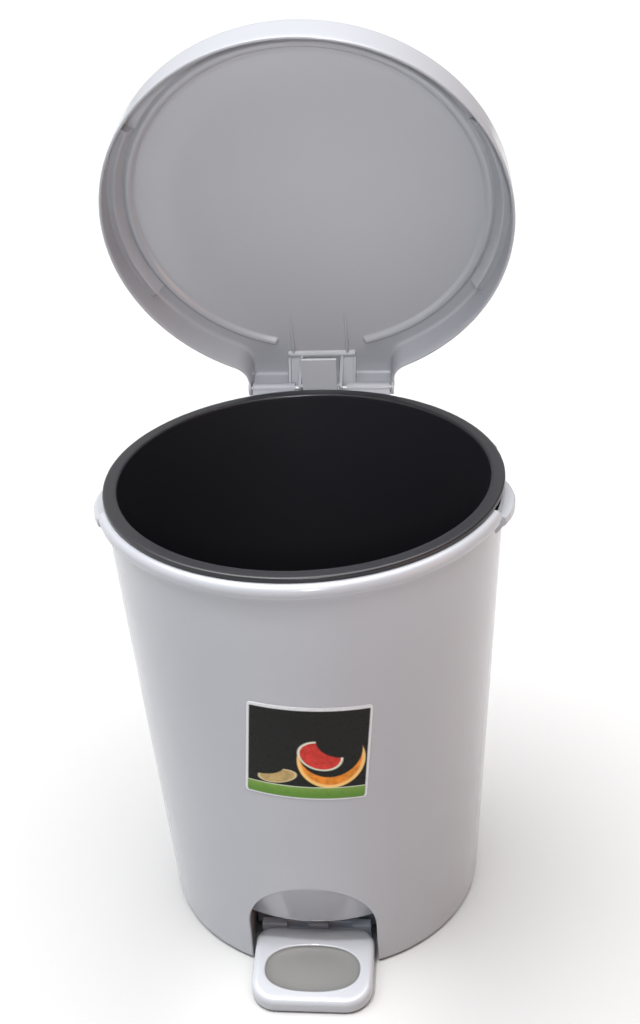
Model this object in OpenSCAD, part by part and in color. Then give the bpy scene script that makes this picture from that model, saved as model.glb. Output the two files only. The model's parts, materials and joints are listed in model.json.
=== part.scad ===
// Round pedal bin with a lift-out inner bucket.
// A pedal rocks a lever under the floor, the lever lifts a strap up the back wall,
// and the strap lifts a pin in the lid beside the lid's hinge.
// Origin: centre of the foot ring, on the ground. -Y is the pedal side.

/* [Outer body] */
// Outer radius of the wall, extended down to the ground
body_base_r = 124.6; // [118:0.2:128]
// Outer radius of the wall just under the lip
body_top_r = 142.5; // [142:0.1:143]
// Height of the underside of the lip
lip_z = 351; // [350:0.5:352]
// Height of the top of the lip
lip_top = 361.5; // [361:0.1:362]
// Outer radius of the lip
lip_r = 148.3; // [147.6:0.1:148.6]
// Wall thickness
wall = 2.2; // [1.8:0.1:2.6]
// Underside of the floor above the pedal mechanism
deck_z = 41; // [40:0.5:42]

/* [Grips] */
// Where the lip stops short of each side, measured from the side
grip_angle = 20; // [19:0.5:22]
// Outer radius of the ledges below the gaps in the lip
grip_r = 151; // [150:0.5:151.5]
// Height of the top of the ledges
grip_z = 352; // [351:0.5:353]

/* [Pedal recess] */
// Half width of the recess, and radius of its arched top
recess_r = 48.5; // [47:0.5:50]
// Height of the centre of the arch
recess_z = 39.5; // [38:0.5:40]
// Radius of the lower edge of the sloping roof
roof_r = 115; // [114.5:0.1:115.5]

/* [Inner bucket] */
// Inner radius at the mouth
bucket_mouth_r = 133; // [132:0.2:134]
// Outer radius at the bottom
bucket_base_r = 112.3; // [110:0.1:112.4]
// Height of the top face of the rim
rim_z = 365.4; // [365:0.1:365.6]
// Outer radius of the rim
rim_r = 143.2; // [143:0.1:144.8]
// Underside of the bucket
bucket_z = 46; // [45:0.5:50]

/* [Lid] */
// Outer radius at the free edge
lid_r = 152; // [151.8:0.1:153]
// Outer radius at the top face
lid_top_r = 150.3; // [149.8:0.1:151]
// Height of the free edge with the lid shut
lid_edge_z = 360; // [359.8:0.1:360.2]
// Height of the top face with the lid shut
lid_top = 388; // [387:0.5:390]
// Width of the hinge tab
tab_w = 118.4; // [116:0.4:120]
// Distance from the middle of the lid to the end of the tab
tab_end = 166; // [165.5:0.5:167]
// Angle the lid stands open at rest
lid_open = 71.5; // [70:0.5:72]

/* [Hinge and lift] */
// Distance of the lid hinge behind the middle
hinge_y = 157.5; // [157.4:0.1:157.6]
// Radius of the lift pin's path round the hinge
crank_r = 8; // [7.9:0.1:8.1]
// Radius of the hinge pin
pin_r = 2; // [1.8:0.1:2.2]
// Width of the lift strap's head
strap_w = 28; // [26:1:28]
// Thickness of the lift strap
strap_t = 2.4; // [2.2:0.1:2.4]

/* [Pedal] */
// Width of the pedal
pedal_w = 91; // [86:1:92]
// Front of the pedal, measured level
pedal_front = 166; // [160:1:170]
// Height of the pedal's top face, measured level
pedal_top = 38; // [37:0.5:38.5]
// Distance of the pedal axle behind the middle
axle_y = 40; // [39:1:41]
// Height of the pedal axle
axle_z = 16; // [15.5:0.5:16]

/* [Label] */
// Width of the label
label_w = 85; // [60:1:90]
// Height of the label
label_h = 82; // [60:1:90]

/* [Hidden] */
$fn = 120;

white = [0.93, 0.93, 0.93];
steel = [0.62, 0.63, 0.65];
eps = 0.01;
run = 0.06;                                    // radial clearance of a turning fit

hinge_z = lid_edge_z;
taper = (body_top_r - body_base_r) / lip_z;    // how fast the wall widens
crank_a = lid_open / 2;                        // the lift pin swings this far either side of level
lift = 2 * crank_r * sin(crank_a);             // travel of the strap
slot_w = 41;                                   // gap in the back wall for the strap and the lid's lugs
slot_z = 302;
lug_x = 15.3;                                  // inner face of each lug in the lid
lug_t = 2.5;
lift_pin_r = 1.5;
grip_bulge = 60;                               // radius of a ledge's outline, and where it points
grip_aim = -9;
box_w = 55;                                    // frame round the lugs
box_y = 141;
box_bar = 3.4;
box_crest = 382.4;                             // its crest in front, and at the end of the tab
box_low = 363;
rib_t = 2;
fillet_r = 18;                                 // tab to lid, seen from above
fillet_x = tab_w / 2 + fillet_r;
fillet_y = sqrt(pow(lid_r + fillet_r, 2) - pow(fillet_x, 2));

strap_y = 145.2;                               // front face of the strap's head
strap_top = 390.5;
strap_bend = [318, 345];                       // the strap steps outwards between these heights
strap_low_y = 135.0;                           // front face below the step
strap_foot = [119, 31.5];                      // centre of the strap's rounded foot
strap_foot_r = 2.5;
shelf_top = hinge_z + crank_r * sin(crank_a) - lift_pin_r - 0.4;

arm = strap_foot.x - axle_y;                   // axle to strap
lever_a = asin(lift / arm);                    // the lever's swing
axle_r = 2.5;
lever_pad_z = 19.2;
saddle_x = 38;
clip_t = 1.2;
plate_z = 1.6;                                 // base plate, set inside the foot ring
plate_top = 3;
foot_in = 117;
screw_r = 1.5;
screw_spots = [[-84, 52], [84, 52], [-84, -44], [84, -44]];
guide_heights = [105, 215];

function wall_r(z) = body_base_r + taper * z;
function bucket_r(z) = bucket_base_r
  + (bucket_mouth_r + 1.8 - bucket_base_r) * (z - bucket_z) / (rim_z - 1.8 - bucket_z);
function strap_front(z) = strap_low_y - (strap_bend[0] - z) * 0.0565;

// ---------- poses ----------
module lid_pose() {
  translate([0, hinge_y, hinge_z]) rotate([-lid_open, 0, 0]) translate([0, -hinge_y, -hinge_z]) children();
}

module lever_pose() {
  translate([0, axle_y, axle_z]) rotate([lever_a, 0, 0]) translate([0, -axle_y, -axle_z]) children();
}

// a side view drawn as [y, z] points, extruded along X
module side_plate(x0, x1, points) {
  translate([x0, 0, 0]) rotate([90, 0, 90]) linear_extrude(x1 - x0) polygon(points);
}

module x_rod(x0, x1, y, z, r) {
  translate([x0, y, z]) rotate([0, 90, 0]) cylinder(h = x1 - x0, r = r);
}

// ---------- outer body ----------
module wall_solid(inset, z0, z1) {
  translate([0, 0, z0]) cylinder(h = z1 - z0, r1 = wall_r(z0) - inset, r2 = wall_r(z1) - inset);
}

module body_shell() {
  rim_in = body_top_r - wall;
  rotate_extrude() polygon([
    [foot_in, 0], [119.6, 0], for (a = [-75 : 15 : 0]) [119.7 + 5.2 * cos(a), 5.2 + 5.2 * sin(a)],
    [wall_r(lip_z), lip_z], [wall_r(lip_z) + 0.7, lip_top], [rim_in, lip_top], [rim_in, lip_z],
    [wall_r(deck_z) - wall, deck_z], [wall_r(8) - wall, 8], [foot_in, 2.2]]);
}

// the rolled lip runs round the front and the back and stops at the side grips
module lip(start, angle) {
  rotate_extrude(angle = angle, start = start) polygon([
    [body_top_r - 0.4, lip_z - 0.4], [lip_r - 1.2, lip_z + 1], [lip_r - 0.2, lip_z + 3], [lip_r, lip_z + 5],
    [lip_r - 0.4, lip_z + 7.4], [lip_r - 1.6, lip_top - 1.2], [lip_r - 3.2, lip_top],
    [body_top_r - 0.4, lip_top]]);
}

// a bulging ledge below each gap, so that fingers reach the bucket's rim
module grip() {
  intersection() {
    rotate_extrude(angle = 23, start = -17) polygon([
      [wall_r(grip_z - 14) - 0.5, grip_z - 14], [grip_r - 1.5, grip_z - 7], [grip_r + 1, grip_z - 6],
      [grip_r + 1, grip_z + 1], [wall_r(grip_z) - 1, grip_z + 1]]);
    rotate([0, 0, grip_aim]) translate([grip_r - grip_bulge, 0, grip_z - 20]) cylinder(h = 30,
      r = grip_bulge);
  }
}

module recess_outline(grow) {
  translate([0, recess_z]) circle(r = recess_r + grow);
  translate([-recess_r - grow, -10]) square([2 * (recess_r + grow), recess_z + 10]);
}

module recess_prism(grow, y_back, y_front) {
  translate([0, y_back, 0]) rotate([90, 0, 0]) linear_extrude(y_front + y_back) recess_outline(grow);
}

// the roof of the recess slopes from the arch in the wall down and in to the deck
module roof_cone(inset) {
  meet_z = recess_z + recess_r + 2.5;
  low_z = deck_z + wall;
  slope = (wall_r(meet_z) - roof_r) / (meet_z - low_z);
  h = meet_z + 5 - deck_z;
  translate([0, 0, deck_z])
    cylinder(h = h, r1 = roof_r - inset - slope * wall, r2 = roof_r - inset + slope * (h - wall));
}

module screw_post(spot, z0, z1, r_out, r_in) {
  translate([spot.x, spot.y, z0]) difference() {
    cylinder(h = z1 - z0, r = r_out);
    translate([0, 0, -1]) cylinder(h = 12, r = r_in);
  }
}

module outer_body() {
  color(white) difference() {
    union() {
      body_shell();
      lip(grip_angle - 180, 180 - 2 * grip_angle);
      lip(grip_angle, 180 - 2 * grip_angle);
      for (side = [0, 1]) mirror([side, 0, 0]) grip();
      translate([0, 0, deck_z]) cylinder(h = wall, r = wall_r(deck_z) - wall + 0.5);
      // cheeks and arched edge of the pedal recess
      intersection() {
        difference() {
          recess_prism(wall, -72, 140);
          recess_prism(0, -60, 141);
          roof_cone(wall);
        }
        wall_solid(1, 2.2, 95);
      }
      intersection() {
        recess_prism(1, 0, 140);
        wall_solid(0.5, deck_z, 100);
        difference() {
          roof_cone(0);
          translate([0, 0, -eps]) roof_cone(wall);
        }
      }
      // panels that close the recess beside the lever
      for (x = [-47, 33]) translate([x, -88, 13]) cube([14, wall, deck_z + 1 - 13]);
      for (spot = screw_spots) screw_post(spot, plate_top, deck_z + 1, 4.5, screw_r);
    }
    // gaps in the rim of the wall, over the ledges
    for (side = [0, 1]) mirror([side, 0, 0])
      rotate_extrude(angle = 31.5, start = 0.5 - grip_angle) translate([136, grip_z]) square([20, 30]);
    // way in for the pedal
    difference() {
      recess_prism(0, 0, 150);
      roof_cone(0);
      translate([0, 0, -1]) cylinder(h = deck_z + 1 + wall, r = roof_r - 1);
    }
    // slot for the lift strap and the lid's lugs
    translate([-slot_w / 2, 120, slot_z]) cube([slot_w, 40, 80]);
    // strap's way through the deck
    translate([-11, strap_foot.x - 5, deck_z - 1]) cube([22, 10, 5]);
    bracket_bolts() translate([0, 0, -30]) cylinder(h = 60, r = 1.5);
  }
}

// ---------- inner bucket ----------
module inner_bucket() {
  color([0.07, 0.07, 0.08]) rotate_extrude() polygon([
    [0, bucket_z + 1.5], [bucket_base_r - 16, bucket_z + 1.5], [bucket_base_r - 14, bucket_z],
    [bucket_base_r - 5, bucket_z],
    [bucket_base_r - 1.4, bucket_z + 1.5], [bucket_base_r, bucket_z + 5],
    [bucket_mouth_r + 1.8, rim_z - 2.4], [bucket_mouth_r + 2.4, rim_z - 1.8], [rim_r - 1.5, rim_z - 1.8],
    [rim_r - 1.5, lip_top], [rim_r, lip_top], [rim_r, rim_z - 1], [rim_r - 0.3, rim_z - 0.3],
    [rim_r - 1, rim_z],
    [bucket_mouth_r + 0.8, rim_z], [bucket_mouth_r + 0.2, rim_z - 0.3], [bucket_mouth_r, rim_z - 1],
    [bucket_base_r - 1.8, bucket_z + 6.5], [bucket_base_r - 3, bucket_z + 4],
    [bucket_base_r - 6, bucket_z + 3.3],
    [0, bucket_z + 3.3]]);
}

// ---------- lid, drawn shut and swung open by lid_pose ----------
module lid_plan(inset) {
  difference() {
    union() {
      circle(r = lid_r - inset, $fn = 180);
      translate([-tab_w / 2 + inset, 100]) square([tab_w - 2 * inset, tab_end - inset - 100]);
      polygon([[0, 90], [69, 130], [fillet_x, fillet_y], [-fillet_x, fillet_y], [-69, 130]]);
    }
    for (side = [-1, 1]) translate([side * fillet_x, fillet_y]) circle(r = fillet_r + inset);
  }
}

module lid_bulk(inset, z0, z1) {
  intersection() {
    translate([0, 0, z0]) linear_extrude(z1 - z0) lid_plan(inset);
    union() {
      translate([0, 0, lid_edge_z])
        cylinder(h = lid_top - lid_edge_z, r1 = lid_r - inset, r2 = lid_top_r - inset, $fn = 180);
      translate([-90, 128, z0]) cube([180, 60, z1 - z0]);
    }
  }
}

module lug() {
  plate_z = lid_top - wall;
  crank = [hinge_y - crank_r * cos(crank_a), hinge_z - crank_r * sin(crank_a)];
  difference() {
    union() {
      side_plate(0, lug_t, [
        [box_y + 1, plate_z + 1], [box_y + 1, box_crest + 1], [hinge_y - 13.5, 374],
        [crank.x - 3.4, crank.y],
        [crank.x, crank.y - 3.4], [hinge_y + 2, hinge_z - 5.2], [hinge_y + 5.4, hinge_z],
        [tab_end - 1, plate_z + 1]]);
      x_rod(0, lug_t, crank.x, crank.y, 3.4);
      x_rod(0, lug_t, hinge_y, hinge_z, 5.5);
    }
    x_rod(-1, lug_t + 1, crank.x, crank.y, lift_pin_r);
    x_rod(-1, lug_t + 1, hinge_y, hinge_z, pin_r + run);
  }
}

module lid_ribs() {
  plate_z = lid_top - wall + 0.2;
  ring_gap = 15.3;
  // low ring round the flat middle, open at the hinge
  rotate_extrude(angle = 360 - 2 * ring_gap, start = 90 + ring_gap) polygon([
    [130, plate_z], [132, plate_z - 2.4], [134, plate_z - 3.1], [135.6, plate_z - 2.8], [138.2, plate_z]]);
  // thick arcs beside the skirt
  for (start = [-31, 150]) rotate_extrude(angle = 61, start = start) polygon([
    [138, plate_z], [143.5, plate_z - 9], [149.3, plate_z - 9], [149.3, plate_z]]);
  // frame round the lugs: a bar in front, and sides that deepen towards the hinge
  translate([-box_w / 2, box_y, box_crest]) cube([box_w, box_bar, plate_z - box_crest]);
  for (x = [-box_w / 2, box_w / 2 - rib_t]) side_plate(x, x + rib_t, [[box_y, plate_z], [box_y, box_crest],
    [box_y + box_bar, box_crest], [tab_end - 1, box_low], [tab_end - 1, plate_z]]);
  // sloping panels between the frame's sides and the lugs
  panel_x = lug_x + lug_t - 0.2;
  panel_w = box_w / 2 - rib_t + 0.2 - panel_x;
  for (x = [-panel_x - panel_w, panel_x]) side_plate(x, x + panel_w, [[box_y + 2, box_crest + 2],
    [box_y + box_bar, box_crest + 2], [tab_end - 1, box_low + 6], [tab_end - 1, box_low + 8],
    [box_y + 2, box_crest + 4]]);
  // gussets in front of the frame
  for (x = [-24, 20]) side_plate(x, x + rib_t, [[99, plate_z], [box_y + 1, box_crest + 1],
    [box_y + 1, plate_z]]);
}

module lid() {
  color(white) lid_pose() difference() {
    union() {
      difference() {
        lid_bulk(0, lid_edge_z, lid_top);
        translate([0, 0, -eps]) lid_bulk(wall, lid_edge_z, lid_top - wall);
      }
      lid_ribs();
      translate([lug_x, 0, 0]) lug();
      translate([-lug_x - lug_t, 0, 0]) lug();
      // ears at the foot of the tab carry the ends of the hinge pin
      for (x = [-tab_w / 2, tab_w / 2 - wall]) x_rod(x, x + wall, hinge_y, hinge_z, 6);
    }
    x_rod(-tab_w, tab_w, hinge_y, hinge_z, pin_r + run);
  }
}

module lift_pin() {
  color(steel) lid_pose()
    x_rod(-lug_x - lug_t, lug_x + lug_t, hinge_y - crank_r * cos(crank_a),
      hinge_z - crank_r * sin(crank_a), lift_pin_r);
}

// ---------- hinge bracket ----------
module bracket_bolts() {
  for (x = [-36, 36], z = [312]) translate([x, 140, z]) rotate([-90, 0, 0]) children();
}

module hinge_bracket() {
  back = 152;
  knuckle_x = 21;
  knuckle_w = 35;
  knuckle_r = 4.4;
  color(white) difference() {
    union() {
      difference() {
        translate([-50, 120, 298]) cube([100, back - 120, 50]);
        wall_solid(0, 280, 352);
        translate([-slot_w / 2, 100, 290]) cube([slot_w, back - 102.5, 70]);
      }
      for (side = [-1, 1]) {
        x0 = side > 0 ? knuckle_x : -knuckle_x - knuckle_w;
        side_plate(x0, x0 + knuckle_w, [[back - 3.5, 340], [back, 340], [back + 2.2, 349],
          [hinge_y, hinge_z - knuckle_r], [hinge_y, hinge_z], [hinge_y - knuckle_r, hinge_z],
          [back - 3.5, 352]]);
        x_rod(x0, x0 + knuckle_w, hinge_y, hinge_z, knuckle_r);
      }
    }
    x_rod(-80, 80, hinge_y, hinge_z, pin_r);
    bracket_bolts() {
      translate([0, 0, -30]) cylinder(h = 60, r = 1.9);
      translate([0, 0, 4]) cylinder(h = 20, r = 4);
    }
  }
}

module bracket_screws() {
  color(steel) bracket_bolts() {
    translate([0, 0, -9]) cylinder(h = 14, r = 1.5);
    translate([0, 0, 4]) cylinder(h = 2.4, r = 3.4);
  }
}

module hinge_pin() {
  color(steel) x_rod(-tab_w / 2 + 0.2, tab_w / 2 - 0.2, hinge_y, hinge_z, pin_r);
}

// ---------- lift strap and its guides ----------
module strap_run(half_w, z0, z1) {
  side_plate(-half_w, half_w, [[strap_front(z0), z0], [strap_front(z0) + strap_t, z0],
    [strap_front(z1) + strap_t, z1], [strap_front(z1), z1]]);
}

module lift_strap() {
  back = strap_y + strap_t;
  color(white) union() {
    // head, with the shelf that the lift pin sits on
    side_plate(-strap_w / 2, strap_w / 2, [[strap_y, strap_bend[1]], [back, strap_bend[1] - 1],
      [back, shelf_top - 5],
      [back + 4.6, shelf_top - 3], [back + 4.6, shelf_top], [back, shelf_top], [back, strap_top - 1],
      [back - 0.8, strap_top], [strap_y + 0.8, strap_top], [strap_y, strap_top - 1]]);
    // step and long straight run
    side_plate(-10, 10, [[strap_low_y, strap_bend[0]], [strap_low_y + strap_t, strap_bend[0] - 1],
      [back, strap_bend[1] - 1], [back, strap_bend[1] + 4], [strap_y, strap_bend[1] + 4],
      [strap_y, strap_bend[1]]]);
    strap_run(8, strap_foot.y, strap_bend[0]);
    x_rod(-9, 9, strap_foot.x, strap_foot.y, strap_foot_r);
  }
}

module strap_guides() {
  slack = 0.5;
  color(white) for (z = guide_heights) difference() {
    intersection() {
      translate([-13, strap_front(z) - 2.6, z]) cube([26, 30, 14]);
      wall_solid(wall, z - 1, z + 20);
    }
    side_plate(-8 - slack, 8 + slack, [[strap_front(z - 2) - slack, z - 2],
      [strap_front(z - 2) + strap_t + 1.1, z - 2],
      [strap_front(z + 16) + strap_t + 1.1, z + 16], [strap_front(z + 16) - slack, z + 16]]);
  }
}

// ---------- pedal and lever, drawn level and rocked by lever_pose ----------
module rounded_rect(x0, y0, x1, y1, r) {
  translate([x0 + r, y0]) square([x1 - x0 - 2 * r, y1 - y0]);
  translate([x0, y0 + r]) square([x1 - x0, y1 - y0 - 2 * r]);
  for (x = [x0 + r, x1 - r], y = [y0 + r, y1 - r]) translate([x, y]) circle(r = r);
}

module pedal() {
  pedal_h = 11.5;
  pedal_back = 98;
  dish_half = 16;
  dish_y = -136;
  dish_r = 58.9;
  dish_depth = 3.5;
  half = pedal_w / 2;
  color(white) lever_pose() difference() {
    translate([0, 0, pedal_top - pedal_h]) linear_extrude(pedal_h)
      rounded_rect(-half, -pedal_front, half, -pedal_back, 13);
    translate([0, 0, pedal_top - pedal_h - 1]) linear_extrude(6)
      rounded_rect(-half + 2.5, -pedal_front + 2.5, half - 2.5, -pedal_back + 1, 8);
    translate([0, dish_y, pedal_top - dish_depth + dish_r]) {
      rotate([0, 90, 0]) cylinder(h = 2 * dish_half, r = dish_r, center = true);
      for (x = [-dish_half, dish_half]) translate([x, 0, 0]) sphere(r = dish_r);
    }
    for (x = [-22, 22]) translate([x, -118, pedal_top - 8]) cylinder(h = 3.5, r = 1.5);
  }
}

module pedal_lever() {
  front_y = -97.6;
  wall_h = 19;
  under = pedal_top - 11.5;
  rail = [[-92, 21], [-60, 18.6], [0, 11.5], [axle_y - 6, 9.6], [axle_y + 10, 9.6], [axle_y + 12, 22],
    [axle_y, 23], [0, 25], [-60, 29], [-92, 34]];
  color([0.72, 0.75, 0.78]) lever_pose() difference() {
    union() {
      // front wall with its stiffening blocks
      translate([-42, -94, 20]) cube([84, 2.5, wall_h]);
      for (block = [[-42, -23], [-6, 9], [28, 42]])
        translate([block[0], front_y, 20]) cube([block[1] - block[0], -93 - front_y, wall_h]);
      // tongue that fills the hollow of the pedal
      translate([-34, -142, under]) cube([68, 49, 4.8]);
      for (x = [-30, 27]) side_plate(x, x + 3, rail);
      for (y = [-50, 0, axle_y + 9]) translate([-29, y, 16]) cube([58, 2.5, 6]);
      // tail with the pad under the strap's foot
      translate([-10, axle_y + 9, lever_pad_z - 2.5]) cube([20, 72, 2.5]);
      for (x = [-10, 7.5]) side_plate(x, x + 2.5, [[axle_y + 9, 12], [121, 14.5], [121, 17.5],
        [axle_y + 9, 17.5]]);
      x_rod(-30, 30, axle_y, axle_z, 5.5);
    }
    x_rod(-50, 50, axle_y, axle_z, axle_r + run);
    for (x = [-22, 22]) translate([x, -118, under - 1]) {
      cylinder(h = 10, r = 1.8);
      cylinder(h = 3.2, r = 3.6);
    }
  }
}

module pedal_screws() {
  under = pedal_top - 11.5;
  color(steel) lever_pose() for (x = [-22, 22]) translate([x, -118, under]) {
    translate([0, 0, 0.2]) cylinder(h = 2, r = 3.2);
    cylinder(h = 6.6, r = 1.5);
  }
}

module pedal_axle() {
  color(steel) x_rod(-saddle_x - 8, saddle_x + 8, axle_y, axle_z, axle_r);
}

// spring clips that keep the axle in its saddles
module axle_clips() {
  color(steel) for (x = [-saddle_x - 4.2 - clip_t, saddle_x + 4.2]) difference() {
    x_rod(x, x + clip_t, axle_y, axle_z, 5);
    x_rod(x - 1, x + clip_t + 1, axle_y, axle_z, axle_r);
  }
}

// ---------- base ----------
module saddle_spots() {
  for (side = [-1, 1], y = [axle_y - 11, axle_y + 11]) translate([side * saddle_x, y, 0]) children();
}

module axle_saddles() {
  color(white) for (side = [-1, 1]) difference() {
    translate([side * saddle_x - 4, axle_y - 15, plate_top]) union() {
      cube([8, 30, 5]);
      translate([0, 8, 0]) cube([8, 14, 19]);
    }
    x_rod(-60, 60, axle_y, axle_z, axle_r);
    saddle_spots() cylinder(h = 12, r = 1.2);
  }
}

module saddle_screws() {
  color(steel) saddle_spots() {
    translate([0, 0, plate_z - 0.6]) cylinder(h = 6, r = 1.2);
    translate([0, 0, plate_z - 1.2]) cylinder(h = 1.2, r = 2.4);
  }
}

module base_plate() {
  color([0.85, 0.86, 0.87]) difference() {
    translate([0, 0, plate_z]) cylinder(h = plate_top - plate_z, r = foot_in - 0.4);
    recess_prism(3, -48, 130);
    for (spot = screw_spots) translate([spot.x, spot.y, 0]) cylinder(h = 8, r = screw_r + 0.3);
    saddle_spots() cylinder(h = 8, r = 1.2);
  }
}

module base_screws() {
  color(steel) for (spot = screw_spots) translate([spot.x, spot.y, 0]) {
    translate([0, 0, plate_z - 1.3]) cylinder(h = 1.3, r = 3.4);
    translate([0, 0, plate_z - 0.5]) cylinder(h = 12, r = screw_r);
  }
}

// ---------- label ----------
module label() {
  label_z = 219.5;
  label_turn = 3.1;
  label_tilt = 5;
  color([0.16, 0.18, 0.17]) intersection() {
    difference() {
      wall_solid(-0.5, 150, 290);
      wall_solid(-0.12, 149, 291);
    }
    rotate([0, 0, label_turn]) translate([0, 0, label_z]) rotate([90, 0, 0]) rotate([0, 0, -label_tilt])
      linear_extrude(160) rounded_rect(-label_w / 2, -label_h / 2, label_w / 2, label_h / 2, 3);
  }
}

outer_body();
inner_bucket();
lid();
hinge_bracket();
bracket_screws();
hinge_pin();
lift_pin();
lift_strap();
strap_guides();
pedal();
pedal_lever();
pedal_screws();
pedal_axle();
axle_clips();
axle_saddles();
saddle_screws();
base_plate();
base_screws();
label();
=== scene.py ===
import json
import math

import bmesh
import bpy
from mathutils import Matrix, Vector


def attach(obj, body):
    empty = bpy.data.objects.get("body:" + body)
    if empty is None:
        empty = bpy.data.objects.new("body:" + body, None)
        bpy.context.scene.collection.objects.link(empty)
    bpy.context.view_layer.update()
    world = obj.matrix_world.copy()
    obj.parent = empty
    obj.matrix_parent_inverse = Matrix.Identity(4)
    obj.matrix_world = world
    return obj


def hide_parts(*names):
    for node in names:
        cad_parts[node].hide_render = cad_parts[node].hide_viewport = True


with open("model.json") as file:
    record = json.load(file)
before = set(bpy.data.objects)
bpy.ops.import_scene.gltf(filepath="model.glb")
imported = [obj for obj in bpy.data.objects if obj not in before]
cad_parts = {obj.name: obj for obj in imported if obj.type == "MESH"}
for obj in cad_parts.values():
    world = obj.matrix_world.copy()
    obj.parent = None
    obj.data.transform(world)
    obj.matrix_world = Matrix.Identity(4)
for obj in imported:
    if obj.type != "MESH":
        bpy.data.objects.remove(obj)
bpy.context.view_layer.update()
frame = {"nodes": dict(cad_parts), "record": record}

MM = 0.001
RAD = math.pi / 180

# the part's own dimensions, in millimetres and degrees, as its source has them
BASE_R, TOP_R, LIP_Z, LIP_TOP, WALL = 124.6, 142.5, 351.0, 361.5, 2.2
DECK_Z, RECESS_R, RECESS_Z, ROOF_R = 41.0, 48.5, 39.5, 115.0
RIM_Z, RIM_R, BUCKET_Z, BUCKET_BASE, BUCKET_MOUTH = 365.4, 143.2, 46.0, 112.3, 133.0
LID_R, LID_TOP_R, LID_EDGE, LID_TOP, TAB_W, TAB_END = 152.0, 150.3, 360.0, 388.0, 118.4, 166.0
OPEN, HINGE_Y, HINGE_Z, CRANK = 71.5, 157.5, 360.0, 8.0
AXLE_Y, AXLE_Z = 40.0, 16.0
GAP, GRIP_R, GRIP_Z, GRIP_BULGE, GRIP_AIM = 20.0, 151.0, 352.0, 60.0, -9.0
SLOT_W, SLOT_R, SLOT_Z, FOOT_R = 41.0, 139.5, 302.0, 5.2
BOX_Y, BOX_BAR, BOX_CREST, BOX_LOW, BOX_W, RIB_T = 141.0, 3.4, 382.4, 363.0, 55.0, 2.0
LUG_X, LUG_T = 15.3, 2.5
PEDAL_W, PEDAL_FRONT, PEDAL_BACK, PEDAL_TOP, PEDAL_UNDER = 91.0, 166.0, 98.0, 38.0, 26.5
DISH_MID, DISH_X, DISH_Y, DISH_POWER = -136.0, 36.5, 20.5, 2.4
LABEL_W, LABEL_H, LABEL_Z, LABEL_TURN, LABEL_TILT = 85.0, 82.0, 219.5, 3.1, 5.0
# how far the strap rises, how far the pedal turns, and where the lift pin is with the lid shut
LIFT = 2 * CRANK * math.sin(OPEN / 2 * RAD)
PRESS = math.asin(LIFT / 79.0) / RAD
CRANK_Y = HINGE_Y - CRANK * math.cos(OPEN / 2 * RAD)
CRANK_Z = HINGE_Z - CRANK * math.sin(OPEN / 2 * RAD)


def wall_r(z):
    """Radius of the tapered wall at a height."""
    return BASE_R + (TOP_R - BASE_R) * z / LIP_Z


def about(y, z, degrees):
    """A turn round an axis along X."""
    c = Vector((0, y, z))
    return Matrix.Translation(c) @ Matrix.Rotation(degrees * RAD, 4, "X") @ Matrix.Translation(-c)


OPENED = about(HINGE_Y, HINGE_Z, -OPEN)
PRESSED = about(AXLE_Y, AXLE_Z, PRESS)


def smooth(t):
    t = min(max(t, 0.0), 1.0)
    return t * t * (3 - 2 * t)


def polar(r, a, z):
    """A point from a radius, an angle in degrees and a height."""
    return (r * math.cos(a * RAD), r * math.sin(a * RAD), z)


def steps(a, b, n):
    """n + 1 even values from a to b."""
    return [a + (b - a) * i / n for i in range(n + 1)]


def around(cx, cy, r, a):
    """A point on a circle in a plane."""
    return (cx + r * math.cos(a * RAD), cy + r * math.sin(a * RAD))


def arc(cx, cy, r, a0, a1, n):
    """n + 1 points along an arc from a0 to a1."""
    return [around(cx, cy, r, a) for a in steps(a0, a1, n)]


# ---------- mesh building ----------
def build(name, bm, body, material, turn=None, sharp=35):
    """A mesh in millimetres becomes an object in metres that rides on a body."""
    bmesh.ops.remove_doubles(bm, verts=bm.verts[:], dist=0.0005)
    if turn is not None:
        bm.transform(turn)
    bm.transform(Matrix.Scale(MM, 4))
    bmesh.ops.recalc_face_normals(bm, faces=bm.faces[:])
    mesh = bpy.data.meshes.new(name)
    bm.to_mesh(mesh)
    bm.free()
    mesh.shade_smooth()
    mesh.set_sharp_from_angle(angle=sharp * RAD)
    mesh.materials.append(material)
    obj = bpy.data.objects.new(name, mesh)
    bpy.context.scene.collection.objects.link(obj)
    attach(obj, body)
    return obj


def bridge(bm, a, b, closed=True):
    """Faces between two rows of points. A face that would fold on itself is left out."""
    n = len(a)
    for i in range(n if closed else n - 1):
        j = (i + 1) % n
        four = [a[i], a[j], b[j], b[i]]
        if len({v.index if v.index >= 0 else id(v) for v in four}) == 4:
            bm.faces.new(four)


def loft(bm, loops, closed=True, caps=(False, False), ring=False):
    """Joins loops of the same number of points, each a list of (x, y, z)."""
    rows = [[bm.verts.new(p) for p in loop] for loop in loops]
    for a, b in zip(rows, rows[1:]):
        bridge(bm, a, b, closed)
    if ring:
        bridge(bm, rows[-1], rows[0], closed)
    if caps[0]:
        bm.faces.new(rows[0][::-1])
    if caps[1]:
        bm.faces.new(rows[-1])
    return rows


def lathe(bm, section, n=180):
    """A closed solid of revolution. Points of the section with no radius close it on the axis."""
    if section[0][0] > 0 or section[-1][0] > 0:
        loft(bm, [[polar(r, 360 * i / n, z) for i in range(n)] for r, z in section], ring=True)
        return
    rows = loft(bm, [[polar(r, 360 * i / n, z) for i in range(n)] for r, z in section[1:-1]])
    for row, z in ((rows[0], section[0][1]), (rows[-1], section[-1][1])):
        tip = bm.verts.new((0, 0, z))
        for i in range(n):
            bm.faces.new((row[i], row[(i + 1) % n], tip))


def sweep(bm, sections):
    """A closed bar: sections are closed loops of 3-D points, with flat ends."""
    loft(bm, sections, closed=True, caps=(True, True))


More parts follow.
